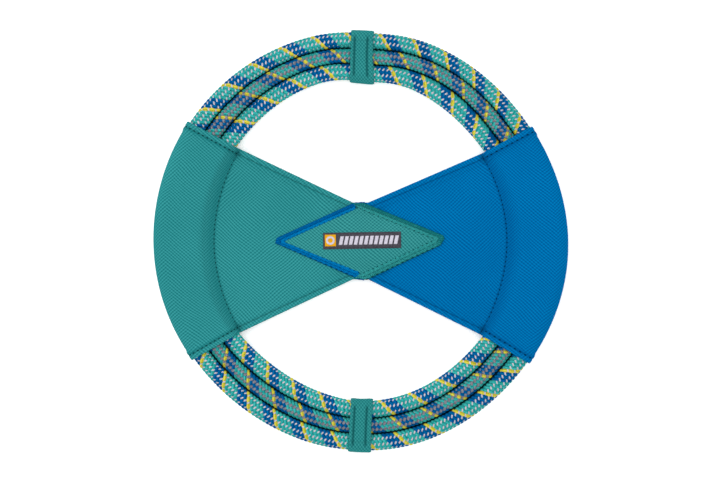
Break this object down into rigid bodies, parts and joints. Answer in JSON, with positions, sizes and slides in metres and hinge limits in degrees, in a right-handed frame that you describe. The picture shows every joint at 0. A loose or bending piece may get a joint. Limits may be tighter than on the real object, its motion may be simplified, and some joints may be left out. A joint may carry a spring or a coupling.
{
  "type": "flying ring",
  "caption": "Soft flat flying ring: three braided ropes side by side, bound by cloth wraps and crossed by a bow-tie of folded cloth with a diamond patch and label.",
  "frame": {"origin": "middle of the ring on the surface that it lies on", "axes": "+Z out of the label's face, +Y towards the top wrap, +X along the label towards the blue panel"},
  "size_m": [0.2376, 0.2386, 0.0126],
  "materials": {
    "outer_rope_braid": "sixteen-strand braid, teal and blue with a yellow tracer and white yarns, soft satin",
    "middle_rope_braid": "sixteen-strand braid, teal and blue with a yellow tracer and grey yarns, soft satin",
    "inner_rope_braid": "sixteen-strand braid, teal and blue with a yellow tracer and white yarns, soft satin",
    "rope_core": "loose white filler yarns, matt",
    "joint_tape": "black cloth tape, matt",
    "teal_cloth": "coarse plain-woven polyester, satin",
    "blue_cloth": "coarse plain-woven polyester, satin",
    "blue_binding": "folded plain-woven binding, satin",
    "teal_binding": "folded plain-woven binding, satin",
    "woven_label": "dense woven polyester label, satin",
    "wrap_cloth": "narrow plain-woven cloth, satin",
    "teal_thread": "twisted polyester sewing thread",
    "navy_thread": "twisted polyester sewing thread",
    "label_thread": "twisted polyester sewing thread"
  },
  "bodies": {
    "root": {"back_blue_trim": "blue_binding", "back_patch": "teal_cloth", "back_patch_thread": "teal_thread", "back_teal_trim": "teal_binding", "bottom_wrap": "wrap_cloth", "bottom_wrap_thread": "teal_thread", "front_blue_trim": "blue_binding", "front_patch": "teal_cloth", "front_patch_thread": "teal_thread", "front_teal_trim": "teal_binding", "inner_rope_core": "rope_core", "inner_rope_joint_tape": "joint_tape", "inner_rope_sheath": "inner_rope_braid", "label": "woven_label", "label_thread": "label_thread", "left_hem_thread": "teal_thread", "left_panel": "teal_cloth", "left_seam_thread": "teal_thread", "middle_rope_core": "rope_core", "middle_rope_joint_tape": "joint_tape", "middle_rope_sheath": "middle_rope_braid", "outer_rope_core": "rope_core", "outer_rope_joint_tape": "joint_tape", "outer_rope_sheath": "outer_rope_braid", "right_hem_thread": "navy_thread", "right_panel": "blue_cloth", "right_seam_thread": "navy_thread", "top_wrap": "wrap_cloth", "top_wrap_thread": "teal_thread"}
  },
  "joints": []
}
